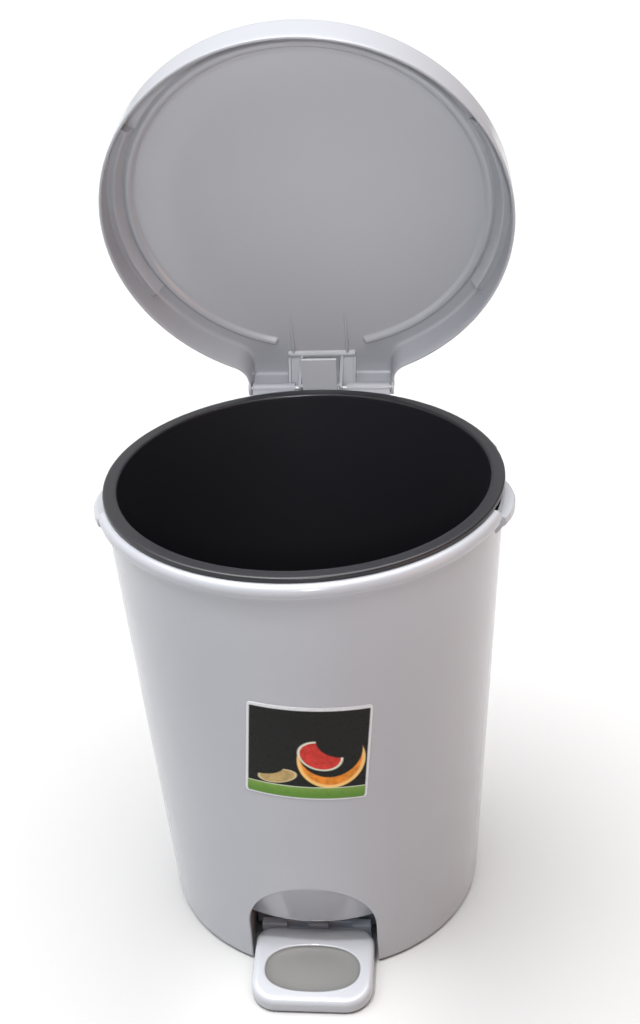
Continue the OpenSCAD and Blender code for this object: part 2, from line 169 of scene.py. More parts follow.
def plate(bm, points, x0, x1):
    """A side view in (y, z), extruded along X."""
    loft(bm, [[(x, y, z) for y, z in points] for x in (x0, x1)], caps=(True, True))


def block(bm, lo, hi):
    plate(bm, [(lo[1], lo[2]), (hi[1], lo[2]), (hi[1], hi[2]), (lo[1], hi[2])], lo[0], hi[0])


def rod(bm, x0, x1, y, z, r, n, chamfer):
    """A round bar along X with chamfered ends."""
    rows = []
    for x, s in ((x0, r - chamfer), (x0 + chamfer, r), (x1 - chamfer, r), (x1, r - chamfer)):
        rows.append([(x, *around(y, z, s, 360 * i / n)) for i in range(n)])
    loft(bm, rows, caps=(True, True))


def bevel(obj, width, segments=3, angle=40):
    m = obj.modifiers.new("edges", "BEVEL")
    m.width = width * MM
    m.segments = segments
    m.limit_method = "ANGLE"
    m.angle_limit = angle * RAD
    m.harden_normals = True
    m.use_clamp_overlap = True


# ---------- materials ----------
def nodes_of(name):
    mat = bpy.data.materials.new(name)
    mat.use_nodes = True
    nt = mat.node_tree
    return mat, nt, nt.nodes["Principled BSDF"]


def add(nt, kind, **inputs):
    node = nt.nodes.new(kind)
    for key, value in inputs.items():
        key = key.replace("_", " ")
        if key in node.inputs:
            node.inputs[key].default_value = value
    return node


def noise(nt, coord, scale, detail=3.0, rough=0.5, stretch=(1, 1, 1)):
    mapping = nt.nodes.new("ShaderNodeMapping")
    mapping.inputs["Scale"].default_value = stretch
    nt.links.new(coord, mapping.inputs["Vector"])
    node = add(nt, "ShaderNodeTexNoise", Scale=scale, Detail=detail, Roughness=rough)
    nt.links.new(mapping.outputs["Vector"], node.inputs["Vector"])
    return node.outputs["Fac"]


def span(nt, value, lo, hi, out_lo, out_hi):
    node = nt.nodes.new("ShaderNodeMapRange")
    node.interpolation_type = "SMOOTHSTEP"
    for key, v in (("From Min", lo), ("From Max", hi), ("To Min", out_lo), ("To Max", out_hi)):
        node.inputs[key].default_value = v
    nt.links.new(value, node.inputs["Value"])
    return node.outputs["Result"]


def blend_colour(nt, fac, a, b):
    node = nt.nodes.new("ShaderNodeMix")
    node.data_type = "RGBA"
    for socket, value in ((node.inputs[6], a), (node.inputs[7], b)):
        if isinstance(value, tuple):
            socket.default_value = (*value, 1)
        else:
            nt.links.new(value, socket)
    nt.links.new(fac, node.inputs[0])
    return node.outputs[2]


def maths(nt, op, a, b=None):
    node = nt.nodes.new("ShaderNodeMath")
    node.operation = op
    for socket, value in zip(node.inputs, (a, b)):
        if value is None:
            continue
        if isinstance(value, (int, float)):
            socket.default_value = value
        else:
            nt.links.new(value, socket)
    return node.outputs[0]


def plastic(name, colour, second, rough, spread, grain, coat=0.0):
    """Faint cloudiness, a fine moulded skin, haze in the gloss, and dulling low down, where shoes rub."""
    mat, nt, bsdf = nodes_of(name)
    coord = nt.nodes.new("ShaderNodeTexCoord").outputs["Object"]
    cloud = noise(nt, coord, 7, 3, 0.5)
    clouded = blend_colour(nt, span(nt, cloud, 0.3, 0.7, 0, 1), colour, second)
    nt.links.new(clouded, bsdf.inputs["Base Color"])
    haze = span(nt, noise(nt, coord, 24, 3, 0.5), 0.3, 0.7, rough - spread / 2, rough + spread / 2)
    rubbed = noise(nt, coord, 260, 5, 0.7)
    height = nt.nodes.new("ShaderNodeSeparateXYZ")
    nt.links.new(coord, height.inputs[0])
    low = span(nt, height.outputs[2], 0.0, 0.05, 1, 0)
    rubbed = maths(nt, "MULTIPLY", maths(nt, "MULTIPLY", rubbed, low), 0.05)
    nt.links.new(maths(nt, "ADD", haze, rubbed), bsdf.inputs["Roughness"])
    skin = noise(nt, coord, 1100, 2, 0.55)
    bump = add(nt, "ShaderNodeBump", Strength=grain, Distance=0.0004)
    nt.links.new(skin, bump.inputs["Height"])
    nt.links.new(bump.outputs["Normal"], bsdf.inputs["Normal"])
    bsdf.inputs["IOR"].default_value = 1.48
    bsdf.inputs["Coat Weight"].default_value = coat
    bsdf.inputs["Coat Roughness"].default_value = 0.1
    return mat


def metal(name, colour):
    mat, nt, bsdf = nodes_of(name)
    coord = nt.nodes.new("ShaderNodeTexCoord").outputs["Object"]
    drawn = noise(nt, coord, 900, 3, 0.6, (0.05, 1, 1))
    tint = noise(nt, coord, 60, 3, 0.5)
    dark = tuple(c * 0.8 for c in colour)
    nt.links.new(blend_colour(nt, span(nt, tint, 0.3, 0.7, 0, 1), colour, dark), bsdf.inputs["Base Color"])
    nt.links.new(span(nt, drawn, 0.2, 0.8, 0.24, 0.42), bsdf.inputs["Roughness"])
    bump = add(nt, "ShaderNodeBump", Strength=0.08, Distance=0.0005)
    nt.links.new(drawn, bump.inputs["Height"])
    nt.links.new(bump.outputs["Normal"], bsdf.inputs["Normal"])
    bsdf.inputs["Metallic"].default_value = 1.0
    return mat


WHITE = plastic("white_plastic_look", (0.365, 0.374, 0.404), (0.356, 0.365, 0.394), 0.22, 0.03, 0.04, 0.35)
DISH = plastic("pedal_dish_look", (0.138, 0.138, 0.136), (0.128, 0.128, 0.126), 0.5, 0.08, 0.5)
SATIN = plastic("satin_plastic_look", (0.56, 0.61, 0.67), (0.53, 0.57, 0.63), 0.40, 0.08, 0.25)
DARK = plastic("dark_plastic_look", (0.014, 0.014, 0.017), (0.0137, 0.0137, 0.0167), 0.30, 0.02, 0.02)
STEEL = metal("steel_look", (0.60, 0.60, 0.62))


# ---------- outer body ----------
def profile_rows():
    """Outer face from the inside of the foot ring up to the rim as (radius, height),
    and the number of rows beside the recess."""
    rows = [(117.2, 0), (118.4, 0), (119.6, 0)]
    rows += arc(119.7, FOOT_R, FOOT_R, -75, -15, 4)
    rows += [(wall_r(z), z) for z in (5.6, 9, 13, 17, 21, 25, 29, 33, 36.5, 39.5)]
    rows += [(wall_r(z), z) for z in (45, 51, 57, 63, 69, 75, 81, 87, 93, 99, 105, 112)]
    low = len(rows)
    rows += [(wall_r(z), z) for z in steps(112, SLOT_Z, 14)[1:] + steps(SLOT_Z, LIP_Z, 5)[1:]]
    rows += [(143.05, 352.4), (143.1, 355), (143.1, 358.5), (143.1, LIP_TOP)]
    return rows, low


PATCH = 36.5        # half angle of the stretch of wall drawn round the recess
PATCH_PARTS = 30
GAP_END = 12


def outer_shell():
    bm = bmesh.new()
    rows, low = profile_rows()
    slot = math.asin(SLOT_W / 2 / SLOT_R) / RAD
    gap_start = 0.5 - GAP
    front = steps(-90 - PATCH, -90 + PATCH, PATCH_PARTS)
    right = steps(front[-1], gap_start, 18)[1:] + steps(gap_start, GAP_END, 16)[1:]
    right += steps(GAP_END, 90 - slot, 36)[1:]
    back = steps(90 - slot, 90 + slot, 10)[1:-1]
    angles = front + right + back + [180 - a for a in right[::-1]]
    slot_row = next(k for k, (r, z) in enumerate(rows) if z > SLOT_Z - 0.1)
    for k in range(len(rows) - 1):
        for i, a in enumerate(angles):
            b = angles[(i + 1) % len(angles)]
            if i < PATCH_PARTS and k < low - 1:
                continue
            middle = (a + (b if b > a else b + 360)) / 2
            if k >= slot_row and abs(middle - 90) < slot:
                continue
            if rows[k][1] > GRIP_Z and gap_start < 90 - abs(middle - 90) < GAP_END:
                continue
            (r0, z0), (r1, z1) = rows[k], rows[k + 1]
            corners = ((r0, a, z0), (r0, b, z0), (r1, b, z1), (r1, a, z1))
            bm.faces.new([bm.verts.new(polar(r, t, z)) for r, t, z in corners])
    recess_band(bm, rows, low, front[1:-1])
    obj = build("body_shell", bm, "bin_body", WHITE)
    solid = obj.modifiers.new("wall", "SOLIDIFY")
    solid.thickness = WALL * MM
    solid.offset = -1
    solid.use_even_offset = True
    bevel(obj, 0.9, 3, 50)
    return obj


def recess_band(bm, rows, low, across):
    """The wall between the recess's arched edge and the plain wall round it."""
    straight = sum(1 for r, z in rows if z <= RECESS_Z + 0.01)
    border = [(-90 - PATCH, rows[k][1], k) for k in range(low)]
    border += [(t, rows[low - 1][1], None) for t in across]
    border += [(-90 + PATCH, rows[k][1], k) for k in range(low - 1, -1, -1)]
    free = len(border) - 2 * straight + 1
    lines = []
    for i, (t, z, k) in enumerate(border):
        mirror = i >= len(border) / 2
        if k is not None and k < straight:
            r = rows[k][0]
            reach = math.asin(RECESS_R / r) / RAD
            edge = (-90 + reach if mirror else -90 - reach, rows[k][1])
        else:
            phi = 180 - 180 * (i - straight + 1) / free
            x = RECESS_R * math.cos(phi * RAD)
            ze = RECESS_Z + RECESS_R * math.sin(phi * RAD)
            edge = (-90 + math.asin(x / wall_r(ze)) / RAD, ze)
        line = []
        for s in (0, 0.05, 0.14, 0.28, 0.46, 0.66, 0.84, 1):
            tt, zz = edge[0] + (t - edge[0]) * s, edge[1] + (z - edge[1]) * s
            rr = rows[k][0] if k is not None and k < straight else wall_r(zz)
            line.append(polar(rr, tt, zz))
        lines.append([bm.verts.new(p) for p in line])
    for a, b in zip(lines, lines[1:]):
        bridge(bm, a, b, closed=False)


def band_sections(a0, a1, n, section):
    """The section at each angle of an arc round the bin."""
    return [[polar(r, a, z) for r, z in section(a)] for a in steps(a0, a1, n)]


def lip_section(_):
    hollow = [(142.2, 350.6), (143.2, 350.4), (143.7, 351.2), (143.9, 353), (144.0, 357.6), (144.6, 358.6)]
    edge = [(145.3, 358.2), (145.6, 356), (145.7, 352.6), (146.0, 351.7), (146.7, 351.5), (147.3, 352.0)]
    return hollow + edge + arc(143.1, 356.3, 5.2, -38, 82, 12) + [(142.2, LIP_TOP)]


def grip_section(a):
    """The ledge's outline is a circle of its own, so it bulges out and runs back into the wall."""
    off, c = (a - GRIP_AIM) * RAD, GRIP_R - GRIP_BULGE
    out = c * math.cos(off) + math.sqrt(GRIP_BULGE ** 2 - (c * math.sin(off)) ** 2)
    low, top = GRIP_Z - 7, GRIP_Z
    return [(141.4, low - 7), (wall_r(low - 7) + 0.4, low - 6.8), (out - 2.2, low - 0.6),
            (out - 0.8, low + 0.3), (out, low + 1.6), (out, top - 1.4), (out - 0.4, top - 0.4),
            (out - 1.4, top), (141.4, top)]


def roof_r(z):
    """Radius of the recess's sloping roof, from the deck up to where it meets the wall."""
    meet = RECESS_Z + RECESS_R + 2.5
    low = DECK_Z + WALL
    return ROOF_R + (wall_r(meet) - ROOF_R) * (z - low) / (meet - low)


def recess_roof():
    """Wraps under the deck's front edge and rises to the arch."""
    bm = bmesh.new()
    xs = steps(-49.6, 49.6, 48)
    under = [(108, 41.0), (112, 41.0), (113.6, 41.15), (114.5, 41.6), (115.0, 42.4), (115.35, 43.6)]
    loops = [[(x, -math.sqrt(r * r - x * x), z) for x in xs] for r, z in under]
    for j in range(1, 13):
        loop = []
        for x in xs:
            top = RECESS_Z + math.sqrt(max(50.2 ** 2 - x * x, 0)) - 0.4
            z = 43.6 + (max(top, 44.5) - 43.6) * j / 12
            loop.append((x, -math.sqrt(roof_r(z) ** 2 - x * x), z))
        loops.append(loop)
    loft(bm, loops, closed=False)
    obj = build("recess_roof", bm, "bin_body", WHITE)
    solid = obj.modifiers.new("wall", "SOLIDIFY")
    solid.thickness = 2.0 * MM
    solid.offset = -1


def recess_cheeks():
    """The recess's side walls and arch. A point is a share of the radius across,
    a height, and a share of the radius above that height."""
    bm = bmesh.new()
    sides = (3.2, 12, 22, 32, RECESS_Z)
    outline = [(-1, z, 0) for z in sides]
    outline += [(math.cos(a * RAD), RECESS_Z, math.sin(a * RAD)) for a in steps(180, 0, 44)[1:-1]]
    outline += [(1, z, 0) for z in sides[::-1]]
    sections = []
    for across, base, rise in outline:
        loop = []
        for grow, deep in ((0.0, False), (0.0, True), (WALL, True), (WALL, False)):
            x, z = across * (RECESS_R + grow), base + (RECESS_R + grow) * rise
            r = wall_r(z) - 1.2 if z > 8 else 119.5
            if deep:
                r = roof_r(z) - 1.6
            y = -72 if deep and z < 43 else -math.sqrt(r * r - x * x)
            loop.append((x, y, z))
        sections.append(loop)
    sweep(bm, sections)
    build("recess_cheeks", bm, "bin_body", WHITE)


def deck():
    """The floor of the body, its posts, and the panels that close the recess beside the lever."""
    bm = bmesh.new()
    edge = wall_r(DECK_Z) - WALL + 0.4
    low, top = DECK_Z + 0.1, DECK_Z + WALL
    lathe(bm, [(0, low), (60, low), (112, low), (112, top), (60, top), (0, top)])
    # outside the recess the deck reaches the wall
    a0, a1 = -90 + 26.5, 270 - 26.5
    sweep(bm, band_sections(a0, a1, 150, lambda a: [(111, low), (edge, low), (edge, top), (111, top)]))
    for x, y in ((-84, 52), (84, 52), (-84, -44), (84, -44)):
        post = ((4.0, 3.0), (4.5, 3.4), (4.6, 38.5), (6.0, 41.3))
        loft(bm, [[(*around(x, y, r, t), z) for t in range(0, 360, 12)] for r, z in post], caps=(True, True))
    for x in (-47, 33):
        block(bm, (x, -88, 13), (x + 14, -88 + WALL, 41.4))
    build("deck", bm, "bin_body", WHITE)


def edged(name, bm, width):
    """A bar of the body with softened ends."""
    obj = build(name, bm, "bin_body", WHITE, sharp=50)
    bevel(obj, width, 2, 60)


def outer_body():
    shell = outer_shell()
    recess_roof()
    recess_cheeks()
    deck()
    for name, a0, a1, n in (("lip_front", GAP - 180, -GAP, 120), ("lip_right", GAP, 81.5, 60),
                            ("lip_left", 98.5, 180 - GAP, 60)):
        bm = bmesh.new()
        sweep(bm, band_sections(a0, a1, n, lip_section))
        edged(name, bm, 0.5)
    ledge = band_sections(-17, 6, 60, grip_section)
    for name, side in (("grip_right", 1), ("grip_left", -1)):
        bm = bmesh.new()
        sweep(bm, [[(side * x, y, z) for x, y, z in loop] for loop in ledge])
        edged(name, bm, 0.4)
    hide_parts("outer_body")


# ---------- bucket ----------
def inner_bucket():
    bm = bmesh.new()

    def out(z):
        """Outer radius of the bucket's tapered wall."""
        return BUCKET_BASE + (BUCKET_MOUTH + 1.8 - BUCKET_BASE) * (z - BUCKET_Z) / (RIM_Z - 1.8 - BUCKET_Z)
    section = [(0, 49.3)] + [(r, 49.3) for r in (30, 60, 90, 103)] + arc(104.5, 55.3, 6, -88, -2, 9)
    section += [(out(z) - 1.8, z) for z in (70, 100, 140, 180, 220, 260, 300, 330, 350, 360)]
    # the rim, from its inner edge over the flat top and down its turned-over skirt
    section += [(BUCKET_MOUTH + d, z)
                for d, z in ((-0.1, 363.2), (0.05, 364.2), (0.35, 364.9), (0.9, 365.25))]
    section += [(r, RIM_Z) for r in (BUCKET_MOUTH + 1.6, 136.5, 139, RIM_R - 1.9)]
    section += [(RIM_R - d, z) for d, z in (
        (1, 365.25), (0.4, 364.9), (0.1, 364.3), (0, 363.6), (0, 362), (0.2, 361.6), (0.6, 361.5),
        (1.2, 361.6), (1.5, 362), (1.5, 363.3), (1.9, 363.6))]
    section += [(136.2, 363.6), (135.4, 363.2)]
    section += [(out(z), z) for z in (360, 350, 330, 300, 260, 220, 180, 140, 100, 70)]
    section += arc(107.6, 51.4, 5.4, 0, -90, 8)
    section += [(100, BUCKET_Z), (98.4, 46.4), (97.6, 47.3), (60, 47.3), (0, 47.3)]
    lathe(bm, section, 220)
    obj = build("bucket", bm, "bin_body", DARK, sharp=60)
    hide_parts("inner_bucket")


# ---------- lid, built shut and turned open ----------
FILLET = 18.0       # between the round edge and the tab, about the point (FX, FY)
FX = TAB_W / 2 + FILLET
FY = math.sqrt((LID_R + FILLET) ** 2 - FX ** 2)
TANGENT = math.atan2(FY, FX) / RAD


def lid_outline(inset, draft):
    """Points of the lid's plan, inset by a distance. draft pulls in the round part only."""
    side = TAB_W / 2 - inset
    end = TAB_END - inset
    rc = max(2.5 - inset, 0.6)

    def fillet(sign):
        out = []
        for t in steps(0, 1, 10)[1:]:
            x, y = around(FX, FY, FILLET + inset + draft * (1 - t), TANGENT + 180 - TANGENT * t)
            out.append((sign * x, y))
        return out
    # right side of the tab round the front to the left side
    pts = arc(0, 0, LID_R - inset - draft, TANGENT, -180 - TANGENT, 200)
    pts += fillet(-1)
    pts += [(-side, y) for y in steps(FY, end - rc, 4)[1:]]
    pts += arc(-side + rc, end - rc, rc, 180, 90, 5)[1:]
    pts += [(x, end) for x in steps(rc - side, side - rc, 80)[1:-1]]
    pts += arc(side - rc, end - rc, rc, 90, 0, 5)
    pts += [(side, y) for y in steps(end - rc, FY, 4)[1:]]
    pts += fillet(1)[::-1][1:]
    return pts


def lid_shell():
    """Outside from the edge up, over the top, then the inside down to the ring rib and the middle."""
    bm = bmesh.new()
    under = LID_TOP - WALL

    def at(inset, z):
        """The plan at a height, where the round skirt leans in."""
        d = (z - LID_EDGE) * (LID_R - LID_TOP_R) / (LID_TOP - LID_EDGE)
        return [(x, y, z) for x, y in lid_outline(inset, d)]

    def scaled(loop, f, z):
        return [(x * f, y * f, z) for x, y, _ in loop]
    outer = [(0, 361.2), (0, 365), (0, 370), (0, 376), (0, 382), (0, 384.6)]
    outer += arc(3.4, 384.6, 3.4, 165, 90, 5)
    loops = [at(i, z) for i, z in outer]
    top = loops[-1]
    loops += [scaled(top, f, LID_TOP) for f in (0.985, 0.95, 0.85, 0.7, 0.5, 0.3, 0.12)]
    inner = [(0.12, 360.5), (0.5, 360.1), (1.1, LID_EDGE), (1.7, 360.1), (2.08, 360.5)]
    inner += [(WALL, z) for z in (361.2, 366, 372, 380, 383)] + arc(5.0, 383, 2.8, 162, 90, 4)
    inside = [at(i, z) for i, z in inner]
    flat = inside[-1]
    angles = [math.atan2(y, x) / RAD for x, y, _ in flat]

    def ring(r, drop):
        """A circle under the plate, lowered by drop except near the hinge."""
        out = []
        for a in angles:
            near = abs((a - 90 + 180) % 360 - 180)
            out.append(polar(r, a, under - drop * smooth((near - 15.0) / 0.9)))
        return out
    outer_ring = ring(139.2, 0)
    for f in (0.35, 0.7):
        inside.append([(x + (u - x) * f, y + (v - y) * f, under)
                       for (x, y, _), (u, v, _) in zip(flat, outer_ring)])
    inside.append(outer_ring)
    for r, drop in ((138.5, 0.15), (137.9, 0.6), (136.9, 1.7), (135.9, 2.6), (135.1, 2.95), (134.0, 3.05),
                    (133.0, 2.75), (132.2, 2.3), (131.4, 1.4), (130.7, 0.6), (130.1, 0.15), (129.4, 0)):
        inside.append(ring(r, drop))
    inside += [ring(r, 0) for r in (126, 112, 90, 64, 36, 12)]
    rows = loft(bm, loops[::-1] + inside)
    bm.faces.new(rows[0])
    bm.faces.new(rows[-1])
    obj = build("lid_shell", bm, "lid_group", WHITE, OPENED, sharp=40)
    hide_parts("lid")


def lid_piece(name, bm, sharp=35):
    return build(name, bm, "lid_group", WHITE, OPENED, sharp)


def lid_frame():
    """Frame, lugs and gussets at the hinge, and the arcs beside the skirt."""
    under, end, bar = LID_TOP - WALL + 0.3, TAB_END - 1.4, BOX_Y + BOX_BAR
    bm = bmesh.new()
    # the bar has a small foot towards the middle of the lid
    plate(bm, [(BOX_Y - 1.6, under), (BOX_Y - 0.7, under - 0.7), (BOX_Y - 0.1, BOX_CREST + 1.2),
               (BOX_Y + 0.3, BOX_CREST + 0.3), (BOX_Y + 1, BOX_CREST), (bar, BOX_CREST), (bar, under)],
          -BOX_W / 2, BOX_W / 2)
    # its sides deepen towards the end of the tab
    side = [(BOX_Y, under), (BOX_Y, BOX_CREST), (bar, BOX_CREST), (end, BOX_LOW), (end, under)]
    for x in (-BOX_W / 2, BOX_W / 2 - RIB_T):
        plate(bm, side, x, x + RIB_T)
    # sloping panels between the sides and the lugs
    panel = [(BOX_Y + 2, BOX_CREST + 2), (bar, BOX_CREST + 2), (end, BOX_LOW + 6), (end, BOX_LOW + 8),
             (BOX_Y + 2, BOX_CREST + 4)]
    for x in (-25.7, 17.6):
        plate(bm, panel, x, x + 8.1)
    bevel(lid_piece("hinge_frame", bm), 0.45, 3, 40)
    for name, x in (("gusset_left", -23), ("gusset_right", 21)):
        bm = bmesh.new()
        loops = []
        for y in steps(99, BOX_Y + 1, 12):
            h = 0.35 + 2.5 * (y - 99) / (BOX_Y - 98)
            half = ((1.1 + 0.35 * h, 0), (1.1, 0.3 * h), (0.85, 0.8 * h), (0.5, h))
            loops.append([(x - dx, y, under - dz) for dx, dz in half]
                         + [(x + dx, y, under - dz) for dx, dz in half[::-1]])
        sweep(bm, loops)
        lid_piece(name, bm, 60)
    for name, x in (("lug_right", LUG_X), ("lug_left", -LUG_X - LUG_T)):
        bm = bmesh.new()
        crank = arc(CRANK_Y, CRANK_Z, 3.4, 185, 285, 8)
        eye = arc(HINGE_Y, HINGE_Z, 5.5, 270, 375, 10)
        outline = [(BOX_Y + 1.4, under), (BOX_Y + 1.4, BOX_CREST + 1), (HINGE_Y - 13.5, 374)]
        outline += crank + eye + [(end, 372), (end, under)]
        plate(bm, outline, x, x + LUG_T)
        bevel(lid_piece(name, bm), 0.4, 3, 40)
    bm = bmesh.new()
    for x in (-TAB_W / 2, TAB_W / 2 - WALL):
        rod(bm, x, x + WALL, HINGE_Y, HINGE_Z, 6, 48, 0.5)
    lid_piece("hinge_ears", bm)
    # a ledge that reaches the skirt, with a slightly raised edge, as radius and drop
    drops = ((138.0, 0), (139.4, 2.3), (141.4, 5.6), (142.7, 8.2), (143.2, 8.9), (143.9, 9.2), (144.5, 9.1),
             (145.1, 8.7), (149.2, 8.4), (149.2, 0))
    section = [(r, under - drop) for r, drop in drops]
    for name, a0 in (("arc_right", -31), ("arc_left", 150)):
        bm = bmesh.new()
        sweep(bm, band_sections(a0, a0 + 61, 90, lambda a: section))
        bevel(lid_piece(name, bm), 0.35, 2, 50)


# ---------- pedal and lever ----------
def rounded(x0, y0, x1, y1, r_front, r_back):
    """A closed plan with its own corner radius at the front (low y) and the back."""
    n = 10
    pts = []
    corners = ((x1 - r_back, y1 - r_back, r_back, 0), (x0 + r_back, y1 - r_back, r_back, 90),
               (x0 + r_front, y0 + r_front, r_front, 180), (x1 - r_front, y0 + r_front, r_front, 270))
    for i, (cx, cy, r, a) in enumerate(corners):
        pts += arc(cx, cy, r, a, a + 90, n)
        nx, ny, nr, na = corners[(i + 1) % 4]
        p = pts[-1]
        q = around(nx, ny, nr, na)
        pts += list(zip(steps(p[0], q[0], n), steps(p[1], q[1], n)))[1:-1]
    return pts


def pedal():
    bm = bmesh.new()
    half = PEDAL_W / 2

    def at(inset, z):
        """The pedal's plan, inset, at a height."""
        loop = rounded(-half + inset, -PEDAL_FRONT + inset, half - inset, -PEDAL_BACK - inset,
                       max(20 - inset, 4), max(13 - inset, 4))
        return [(x, y, z) for x, y in loop]

    def dish(f, z):
        """The dish's oval, scaled by f, with a point for each of the plan's."""
        out = []
        for x, y, _ in at(0, 0):
            t = math.atan2((y - DISH_MID) / 20, x / 36)
            c, s = math.cos(t), math.sin(t)
            q = (abs(c) ** DISH_POWER + abs(s) ** DISH_POWER) ** (-1 / DISH_POWER)
            out.append((DISH_X * f * c * q, DISH_MID + DISH_Y * f * s * q, z))
        return out
    # up the inside of the rim underneath, over its edge, and up the outside to the top face
    loops = [at(inset, z) for inset, z in (
        (6, 31.4), (2.8, 31.2), (2.5, 30.6), (2.5, 27.0), (2.2, 26.6), (1.4, PEDAL_UNDER), (0.6, PEDAL_UNDER),
        (0.15, 26.8), (0, 27.3), (0, 30), (0, 33.2), (0.25, 34.8), (0.8, 36.0), (1.6, 36.9), (2.7, 37.5),
        (4.2, 37.9), (6, PEDAL_TOP))]
    rim = dish(1.06, PEDAL_TOP)
    loops.append([((a[0] + b[0]) / 2, (a[1] + b[1]) / 2, PEDAL_TOP) for a, b in zip(loops[-1], rim)])
    loops.append(rim)
    loops += [dish(f, z) for f, z in ((1.02, 37.95), (1.0, 37.75), (0.985, 37.3), (0.965, 36.7), (0.93, 36.1),
                                      (0.86, 35.45), (0.74, 34.95), (0.55, 34.6), (0.3, 34.5), (0.12, 34.5))]
    rows = loft(bm, loops)
    bm.faces.new(rows[0])
    bm.faces.new(rows[-1])
    floor_of_dish = {v for row in rows[-8:] for v in row}
    for face in bm.faces:
        face.material_index = int(all(v in floor_of_dish for v in face.verts))
    obj = build("pedal_plate", bm, "pedal_group", WHITE, PRESSED, sharp=50)
    obj.data.materials.append(DISH)
    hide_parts("pedal")


# ---------- label ----------
def grid_edge(grid):
    """The outermost points of a grid of rows, once round."""
    right = [row[-1] for row in grid[1:]]
    left = [row[0] for row in grid[-2:0:-1]]
    return grid[0] + right + grid[-1][-2::-1] + left


def label():
    bm = bmesh.new()
    uv = bm.loops.layers.uv.new("label")
    w, h, rc = LABEL_W, LABEL_H, 3.0

    def place(u, v, off):
        """u and v run from -1 to 1; the corners are rounded by pulling the grid in."""
        x, z = u * w / 2, v * h / 2
        ax, az = abs(x) - (w / 2 - rc), abs(z) - (h / 2 - rc)
        if ax > 0 and az > 0:
            d = math.hypot(ax, az)
            m = max(ax, az)
            x = math.copysign(w / 2 - rc + ax * m / d, x)
            z = math.copysign(h / 2 - rc + az * m / d, z)
        c, s = math.cos(-LABEL_TILT * RAD), math.sin(-LABEL_TILT * RAD)
        xr, zr = x * c - z * s, x * s + z * c
        zz = LABEL_Z + zr
        r = wall_r(zz) + off
        a = -90 + LABEL_TURN + math.asin(xr / r) / RAD
        return polar(r, a, zz)
    edge = [-1, -0.985, -0.965, -0.945]
    lines_x = edge + steps(-0.92, 0.92, 40) + [-u for u in edge[::-1]]
    lines_z = edge + steps(-0.92, 0.92, 36) + [-v for v in edge[::-1]]
    layers = []
    for off in (0.38, -0.25):
        layers.append([[bm.verts.new(place(u, v, off)) for u in lines_x] for v in lines_z])
    where = {}
    for layer in layers:
        for j, row in enumerate(layer):
            for i, vert in enumerate(row):
                where[vert] = ((lines_x[i] + 1) / 2, (lines_z[j] + 1) / 2)
    for layer in layers:
        for a, b in zip(layer, layer[1:]):
            bridge(bm, a, b, closed=False)
    front, rear = layers
    bridge(bm, grid_edge(front), grid_edge(rear), closed=True)
    for face in bm.faces:
        for corner in face.loops:
            corner[uv].uv = where[corner.vert]
    obj = build("label_film", bm, "bin_body", label_look(), sharp=60)
    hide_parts("label")


